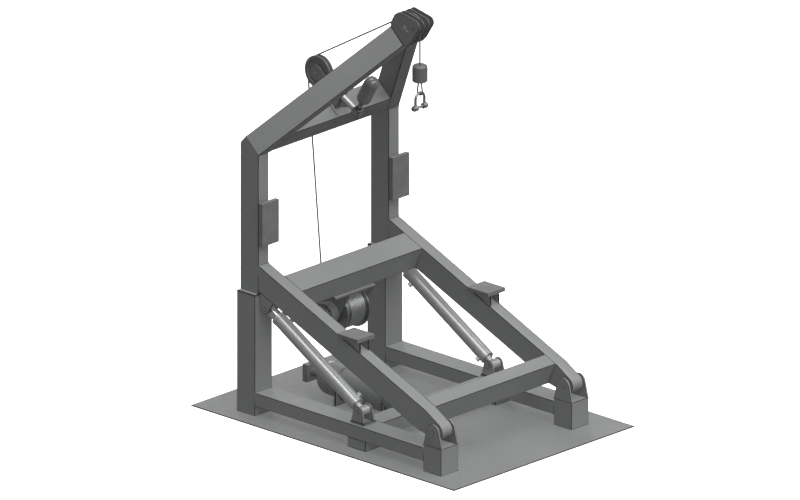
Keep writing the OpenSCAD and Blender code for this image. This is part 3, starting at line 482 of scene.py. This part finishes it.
# %% Which ends are welded
INCLINE = math.radians(22.6)
LEAN = math.radians(43)
SPREAD = math.radians(28.5623)
ALONG_A_TOP = Vector((0, -math.sin(LEAN), math.cos(LEAN)))
OUT_OF_INCLINE = Vector((0, -math.sin(INCLINE), math.cos(INCLINE)))
ACROSS_A_BEAM = Vector((math.cos(SPREAD), 0, 0)) + ALONG_A_TOP * math.sin(SPREAD)
MIRRORED = Vector((-1, 1, 1))
WELDED_ENDS = {
    "rear_columns": [Vector((0, 0, -1))],
    "column_caps": [Vector((0, 0, -1))],
    "rail_blocks": [Vector((0, 0, -1)), Vector((0, 0, 1))],
    "front_feet": [Vector((0, 0, -1))],
    "side_rails": [Vector((0, 1, 0)), Vector((0, -1, 0))],
    "floor_crossbeam": [Vector((1, 0, 0)), Vector((-1, 0, 0))],
    "pivot_cheeks": [Vector((0, 0, -1))],
    "cylinder_clevises": [Vector((0, 0, -1))],
    "tank_saddles": [Vector((0, 0, -1))],
    "incline_beams": [Vector((0, 1, 0))],
    "upper_crossbeam": [Vector((1, 0, 0)), Vector((-1, 0, 0))],
    "lower_crossbeam": [Vector((1, 0, 0)), Vector((-1, 0, 0))],
    "a_beams": [-ALONG_A_TOP],
    "a_crossbeam": [ACROSS_A_BEAM, ACROSS_A_BEAM * MIRRORED],
    "cylinder_lugs": [OUT_OF_INCLINE],
    "landing_brackets": [-OUT_OF_INCLINE],
    "bumper_brackets": [Vector((0, 1, 0))],
    "damper_pedestal": [-ALONG_A_TOP],
}

# %% The outline of a node's end
END_DEPTH = 0.004
SAME_DIRECTION = 0.9999
SAME_MIDDLE = 0.02
LARGER = 1.02


def end_outlines(node, normals):
    """The wire round the faces that end a node towards one of the normals, as an object."""
    wire = merged_copy(node, "outline")
    bpy.ops.object.mode_set(mode="EDIT")
    bpy.ops.mesh.select_mode(type="FACE")
    bpy.ops.mesh.select_all(action="SELECT")
    bpy.ops.object.mode_set(mode="OBJECT")
    for normal in normals:
        outward = normal.normalized()
        facing = [face for face in wire.data.polygons if face.normal.dot(outward) > SAME_DIRECTION]
        reach = max(face.center.dot(outward) for face in facing)
        for face in facing:
            face.select = face.select and face.center.dot(outward) < reach - END_DEPTH
    bpy.ops.object.mode_set(mode="EDIT")
    bpy.ops.mesh.delete(type="FACE")
    bpy.ops.mesh.select_all(action="SELECT")
    bpy.ops.mesh.region_to_loop()
    bpy.ops.mesh.select_mode(type="EDGE")
    bpy.ops.mesh.select_all(action="INVERT")
    bpy.ops.mesh.delete(type="EDGE")
    bpy.ops.mesh.select_all(action="SELECT")
    bpy.ops.mesh.delete(type="ONLY_FACE")
    bpy.ops.mesh.select_mode(type="VERT")
    bpy.ops.mesh.select_all(action="DESELECT")
    bpy.ops.object.mode_set(mode="OBJECT")
    return wire


def wire_loops(mesh):
    """The closed wires of a mesh, each with its mean radius, its middle and its vertex numbers."""
    beside = {vertex.index: set() for vertex in mesh.vertices}
    for edge in mesh.edges:
        a, b = edge.vertices
        beside[a].add(b)
        beside[b].add(a)
    loops, left = [], set(beside)
    while left:
        found, reach = set(), {left.pop()}
        while reach:
            found |= reach
            reach = set().union(*(beside[v] for v in reach)) - found
        left -= found
        points = [mesh.vertices[v].co for v in found]
        middle = sum(points, Vector()) / len(points)
        loops.append((sum((p - middle).length for p in points) / len(points), middle, found))
    return loops


def inner_vertices(loops):
    """The vertices of each loop that lies inside a larger one."""
    inner = set()
    for size, middle, found in loops:
        for other_size, other_middle, _ in loops:
            if other_size > size * LARGER and (other_middle - middle).length < SAME_MIDDLE:
                inner |= found
    return inner

# %% Run the welds
BEAD_RADIUS = 0.0045


def weld_round(node, normals):
    """Beads round a node's ends: its outer outlines, made into tubes."""
    wire = end_outlines(node, normals)
    inner = inner_vertices(wire_loops(wire.data))
    for vertex in wire.data.vertices:
        vertex.select = vertex.index in inner
    make_active(wire)
    bpy.ops.object.mode_set(mode="EDIT")
    bpy.ops.mesh.delete(type="VERT")
    bpy.ops.object.mode_set(mode="OBJECT")
    bpy.ops.object.convert(target="CURVE")
    outline = bpy.context.active_object
    outline.data.bevel_depth = BEAD_RADIUS
    outline.data.bevel_resolution = 1
    bpy.ops.object.convert(target="MESH")
    bead = bpy.context.active_object
    bead.name = "weld_" + node
    bead.data.materials.clear()
    bead.data.materials.append(weld_bead)
    smooth(bead, ROUND_ANGLE)
    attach(bead, body_of_node[node])
    return bead


for node, normals in WELDED_ENDS.items():
    bead = weld_round(node, normals)
    print(bead.name, len(bead.data.polygons), "faces")

# %% [markdown]
# ## Eased edges
#
# No plate or box section has a perfectly sharp edge. A rolled section's corners are rounded by about
# 10 mm, and a cut plate's edges are ground back by 4 to 7 mm so that paint holds. The CAD solids are
# sharp, so a copy stands for each one. A bevel rounds its edges, and the bevel's new faces take the
# primer's finish. Where a node has small details, the bevel is clamped to what they leave room for.

# %% Ease the edges of plates and sections
def ease(node, width, clamped):
    """Replaces a node by a copy with its sharp edges rounded, to a smaller width if clamped."""
    piece = merged_copy(node, "eased_" + node)
    piece.data.materials.append(edge_primer)
    apply_modifier(piece, "BEVEL", width=width, segments=2, limit_method="ANGLE",
                   angle_limit=SHARP_ANGLE, use_clamp_overlap=clamped, material=1)
    smooth(piece)
    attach(piece, body_of_node[node])
    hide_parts(node)
    return piece


ROLLED_CORNERS = ["rear_columns", "side_rails", "floor_crossbeam", "front_feet", "posts", "a_beams",
                  "a_crossbeam", "incline_beams", "upper_crossbeam", "lower_crossbeam"]
GROUND_EDGES = ["deck_plate", "column_caps", "rail_blocks", "cylinder_clevises", "landing_brackets",
                "bumper_brackets", "winch_frame", "tank_saddles", "tank_valve", "sheave_fork"]
FLAME_CUT = ["head_plates", "pivot_cheeks", "cylinder_lugs", "damper_manifold", "damper_pedestal"]
EASED = [(0.010, True, ROLLED_CORNERS), (0.007, True, GROUND_EDGES), (0.0045, False, FLAME_CUT),
         (0.005, True, PINS)]
for width, clamped, nodes in EASED:
    for node in nodes:
        faces = ease(node, width, clamped).data.polygons
        primed = sum(face.area for face in faces if face.material_index == 1)
        print("eased", node, len(faces), "faces, primer on", round(primed, 4), "m2")

# %% [markdown]
# ## Laid wire rope
#
# The hoist rope is six strands laid round a core, 18 mm over all, and one strand takes 115 mm to go
# once round. A lobed section swept along the rope's route, turning as it goes, gives just that shape.
# On the drum the lobes are shallower, so that the turns, not the strands, show from a distance.
# The route follows from the frame: the drum, the guide sheave and the head sheave, and the straight
# lines that touch them.

# %% The rope's route from drum to hook
ROPE_DIAMETER = 0.018
ROPE_PITCH = 0.0205
DRUM_TURNS = 10
ARC_STEP = math.radians(4)


def joint_centre(name):
    return Vector(joints[name]["pos_m"][1:])


drum_radius = ratios["hook_slide"]
guide_radius = drum_radius / ratios["guide_sheave_spin"]
head_radius = drum_radius / ratios["head_sheave_spin"]
drum_centre = joint_centre("drum_spin")
guide_centre = joint_centre("guide_sheave_spin")
head_centre = joint_centre("head_sheave_spin")


def lead_angle(start, start_radius, end, end_radius):
    """Direction of the straight that touches two circles on the same side."""
    across = end - start
    return math.atan2(across.y, across.x) + math.asin((start_radius - end_radius) / across.length)


def on_circle(centre, radius, angle, x=0.0):
    return Vector((x, centre.x + radius * math.cos(angle), centre.y + radius * math.sin(angle)))


def arc(centre, radius, start, end):
    count = math.ceil(abs(end - start) / ARC_STEP)
    return [on_circle(centre, radius, start + (end - start) * i / count) for i in range(count + 1)]


quarter_turn = math.pi / 2
leave_drum = lead_angle(drum_centre, drum_radius, guide_centre, guide_radius) - quarter_turn
reach_head = lead_angle(guide_centre, guide_radius, head_centre, head_radius) - quarter_turn
guide_top = (leave_drum + reach_head) / 2
drum_point = on_circle(drum_centre, drum_radius, leave_drum)
guide_point = on_circle(guide_centre, guide_radius, leave_drum)
lead = (guide_point - drum_point).normalized()
lower_route = [drum_point + lead * ROPE_DIAMETER]
lower_route += arc(guide_centre, guide_radius, leave_drum, guide_top)
upper_route = arc(guide_centre, guide_radius, guide_top, reach_head)
upper_route += arc(head_centre, head_radius, reach_head, math.pi)
fall_top = upper_route[-1]
fall_end = Vector((0, fall_top.y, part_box("hook_weight")[1].z))
print("rope leaves the drum at", round(math.degrees(leave_drum), 2), "degrees")

# %% Sweep the lobed section
STRANDS = 6
LAY_LENGTH = 0.115
RING_STEP = 0.009
LOBE_POINTS = 4
LOBE_DEPTH = 0.144
WORN_LOBE_DEPTH = 0.045


def even_steps(points, step):
    """The route as points about that far apart."""
    lengths = [0.0]
    for a, b in zip(points, points[1:]):
        lengths.append(lengths[-1] + (b - a).length)
    count = round(lengths[-1] / step)
    placed, k = [], 0
    for i in range(count + 1):
        along = lengths[-1] * i / count
        while k < len(points) - 2 and lengths[k + 1] < along:
            k += 1
        share = (along - lengths[k]) / (lengths[k + 1] - lengths[k])
        placed.append(points[k].lerp(points[k + 1], share))
    return placed, lengths[-1]


def rope_section(name, lobe_depth):
    """A closed curve with one lobe for each strand, as deep as that share of the rope's radius."""
    count = STRANDS * LOBE_POINTS
    curve = bpy.data.curves.new(name, "CURVE")
    spline = curve.splines.new("POLY")
    spline.points.add(count - 1)
    spline.use_cyclic_u = True
    for i in range(count):
        angle = 2 * math.pi * i / count
        dip = lobe_depth * (1 - abs(math.cos(STRANDS * angle / 2)))
        radius = ROPE_DIAMETER / 2 * (1 - dip)
        spline.points[i].co = (radius * math.cos(angle), radius * math.sin(angle), 0, 1)
    section = bpy.data.objects.new(name, curve)
    bpy.context.scene.collection.objects.link(section)
    return section


def lay_rope(name, route, section, finish):
    """A rope along a route: the section turns once in each lay length."""
    placed, length = even_steps(route, RING_STEP)
    curve = bpy.data.curves.new(name, "CURVE")
    curve.dimensions = "3D"
    curve.twist_mode = "MINIMUM"
    spline = curve.splines.new("POLY")
    spline.points.add(len(placed) - 1)
    for i, point in enumerate(placed):
        spline.points[i].co = (*point, 1)
        spline.points[i].tilt = 2 * math.pi * length * i / (len(placed) - 1) / LAY_LENGTH
    curve.bevel_mode = "OBJECT"
    curve.bevel_object = section
    curve.use_fill_caps = True
    rope = bpy.data.objects.new(name, curve)
    bpy.context.scene.collection.objects.link(rope)
    make_active(rope)
    bpy.ops.object.convert(target="MESH")
    rope = bpy.context.active_object
    rope.data.materials.clear()
    rope.data.materials.append(finish)
    smooth(rope, ROUND_ANGLE)
    print(name, round(length, 3), "m,", len(rope.data.polygons), "faces")
    return rope


section = rope_section("rope_section", LOBE_DEPTH)
worn_section = rope_section("worn_section", WORN_LOBE_DEPTH)
lower_rope = lay_rope("lower_rope", lower_route, section, greased_wire)
upper_rope = lay_rope("upper_rope", upper_route, section, greased_wire)
fall_rope = lay_rope("fall_rope", [fall_top, fall_end], section, greased_wire)

# %% Wind the drum
TURN_STEPS = 72

wound_route = []
for i in range(DRUM_TURNS * TURN_STEPS + 1):
    turn = leave_drum + 2 * math.pi * i / TURN_STEPS
    x = ROPE_PITCH * (DRUM_TURNS - i / TURN_STEPS)
    wound_route.append(on_circle(drum_centre, drum_radius, turn, x))
wound_route.insert(0, wound_route[0] - lead * ROPE_DIAMETER)
wound_route.append(drum_point + lead * ROPE_DIAMETER)
wound_rope = lay_rope("wound_rope", wound_route, worn_section, rope_wire)
bpy.data.objects.remove(section)
bpy.data.objects.remove(worn_section)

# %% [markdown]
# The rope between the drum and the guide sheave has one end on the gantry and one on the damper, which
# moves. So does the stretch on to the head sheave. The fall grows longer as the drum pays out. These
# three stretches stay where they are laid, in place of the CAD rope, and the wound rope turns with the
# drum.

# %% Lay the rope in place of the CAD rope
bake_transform(lower_rope)
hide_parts("hoist_rope")
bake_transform(upper_rope)
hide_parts("hoist_rope")
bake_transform(fall_rope)
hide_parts("rope_fall")
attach(wound_rope, "drum")
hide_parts("rope_winding")

# %% [markdown]
# ## Bolts and small fittings
#
# The CAD stops at the parts that carry load. A fitter's eye misses the bolts: the ring round the
# gearbox and those that hold the tank's bands down. One bolt of each size is modelled, a hexagon head
# with its corners turned off on a washer, and it is copied to each place.

# %% One bolt and its copies
FITTING_ANGLE = math.radians(30)
CORNER_ANGLE = math.radians(50)
WASHER_SHARE = 0.2
HEAD_SHARE = 0.65


def dress(piece, finish, body):
    """Gives a fitting its finish and the body it rides on."""
    smooth(piece, FITTING_ANGLE)
    piece.data.materials.clear()
    piece.data.materials.append(finish)
    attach(piece, body)


def turned_round(name, radius, length, sides, width):
    """A round, hexagon or square bar along Z from the origin, its corners bevelled."""
    deselect_all()
    bpy.ops.mesh.primitive_cylinder_add(vertices=sides, radius=radius, depth=length,
                                        location=(0, 0, length / 2))
    piece = bpy.context.active_object
    piece.name = name
    bpy.ops.object.transform_apply(location=True, rotation=True, scale=True)
    apply_modifier(piece, "BEVEL", width=width, segments=2, limit_method="ANGLE",
                   angle_limit=CORNER_ANGLE)
    return piece


def join_pair(first, second):
    make_active(first)
    second.select_set(True)
    bpy.ops.object.join()
    return bpy.context.active_object


def model_bolt(thread):
    """A hexagon head on its washer, standing on the origin."""
    washer_height = thread * WASHER_SHARE
    washer = turned_round("washer", thread, washer_height, 24, thread * 0.05)
    head = turned_round("bolt_head", thread * 0.87, thread * HEAD_SHARE, 6, thread * 0.08)
    head.data.transform(Matrix.Translation((0, 0, washer_height)))
    return join_pair(washer, head)


def place_bolts(name, thread, spots, direction, body):
    """Copies one bolt to each spot, heads along the direction, and joins the copies."""
    bolt = model_bolt(thread)
    turn = Vector(direction).to_track_quat("Z", "Y").to_matrix().to_4x4()
    group = None
    for spot in spots:
        make_active(bolt)
        bpy.ops.object.duplicate()
        copy = bpy.context.active_object
        copy.data.transform(Matrix.Translation(spot) @ turn)
        group = join_pair(group, copy) if group else copy
    bpy.data.objects.remove(bolt)
    group.name = name
    dress(group, phosphated_steel, body)
    print(name, len(spots), "bolts,", len(group.data.polygons), "faces")

# %% [markdown]
# The gearbox cover has twelve M12 bolts, and a square flange joins the motor to it. Each foot of the
# tank's bands has an M10 bolt. The damper's drain pipe runs down the top's crossbeam, 25 mm thick.

# %% Bolts on the winch and the tank
BOLT_CIRCLE = 0.101
COVER_BOLTS = 12
gear_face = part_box("winch_gearbox")[0].x
ring = [2 * math.pi * i / COVER_BOLTS for i in range(COVER_BOLTS)]
cover_spots = [on_circle(drum_centre, BOLT_CIRCLE, angle + INCLINE, gear_face) for angle in ring]
place_bolts("gearbox_bolts", 0.012, cover_spots, (-1, 0, 0), "gantry")

BAND_WIDTH = 0.040
FOOT_THICKNESS = 0.006
FOOT_REACH = 0.013
tank_low, tank_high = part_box("gas_tank")
band_low, band_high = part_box("tank_bands")
tank_axis_z = (tank_low.z + tank_high.z) / 2
foot_spots = [Vector((x, y, tank_axis_z + FOOT_THICKNESS))
              for x in (tank_low.x - FOOT_REACH, tank_high.x + FOOT_REACH)
              for y in (band_low.y + BAND_WIDTH / 2, band_high.y - BAND_WIDTH / 2)]
place_bolts("tank_bolts", 0.010, foot_spots, (0, 0, 1), "base")

# %% The motor's flange and the drain pipe
FLANGE_RADIUS = 0.102
FLANGE_THICKNESS = 0.014
PIPE_RADIUS = 0.0125
PIPE_LENGTH = 0.17
PIPE_START = (-0.06, 0.03, 0.2915)
TOP_FOOT = (0, 1.125, 2.768)

flange = turned_round("motor_flange", FLANGE_RADIUS, FLANGE_THICKNESS, 4, 0.004)
turn = Matrix.Rotation(INCLINE, 4, "X") @ Matrix.Rotation(-quarter_turn, 4, "Y")
middle = Matrix.Translation((gear_face, drum_centre.x, drum_centre.y))
flange.data.transform(middle @ turn @ Matrix.Rotation(quarter_turn / 2, 4, "Z"))
dress(flange, fitting_enamel, "gantry")

drain = turned_round("drain_pipe", PIPE_RADIUS, PIPE_LENGTH, 24, 0.003)
along_top = Matrix.Translation(TOP_FOOT) @ Matrix.Rotation(LEAN, 4, "X")
down_beam = Matrix.Translation(PIPE_START) @ Matrix.Rotation(-quarter_turn, 4, "X")
drain.data.transform(along_top @ down_beam)
dress(drain, frame_enamel, "gantry")
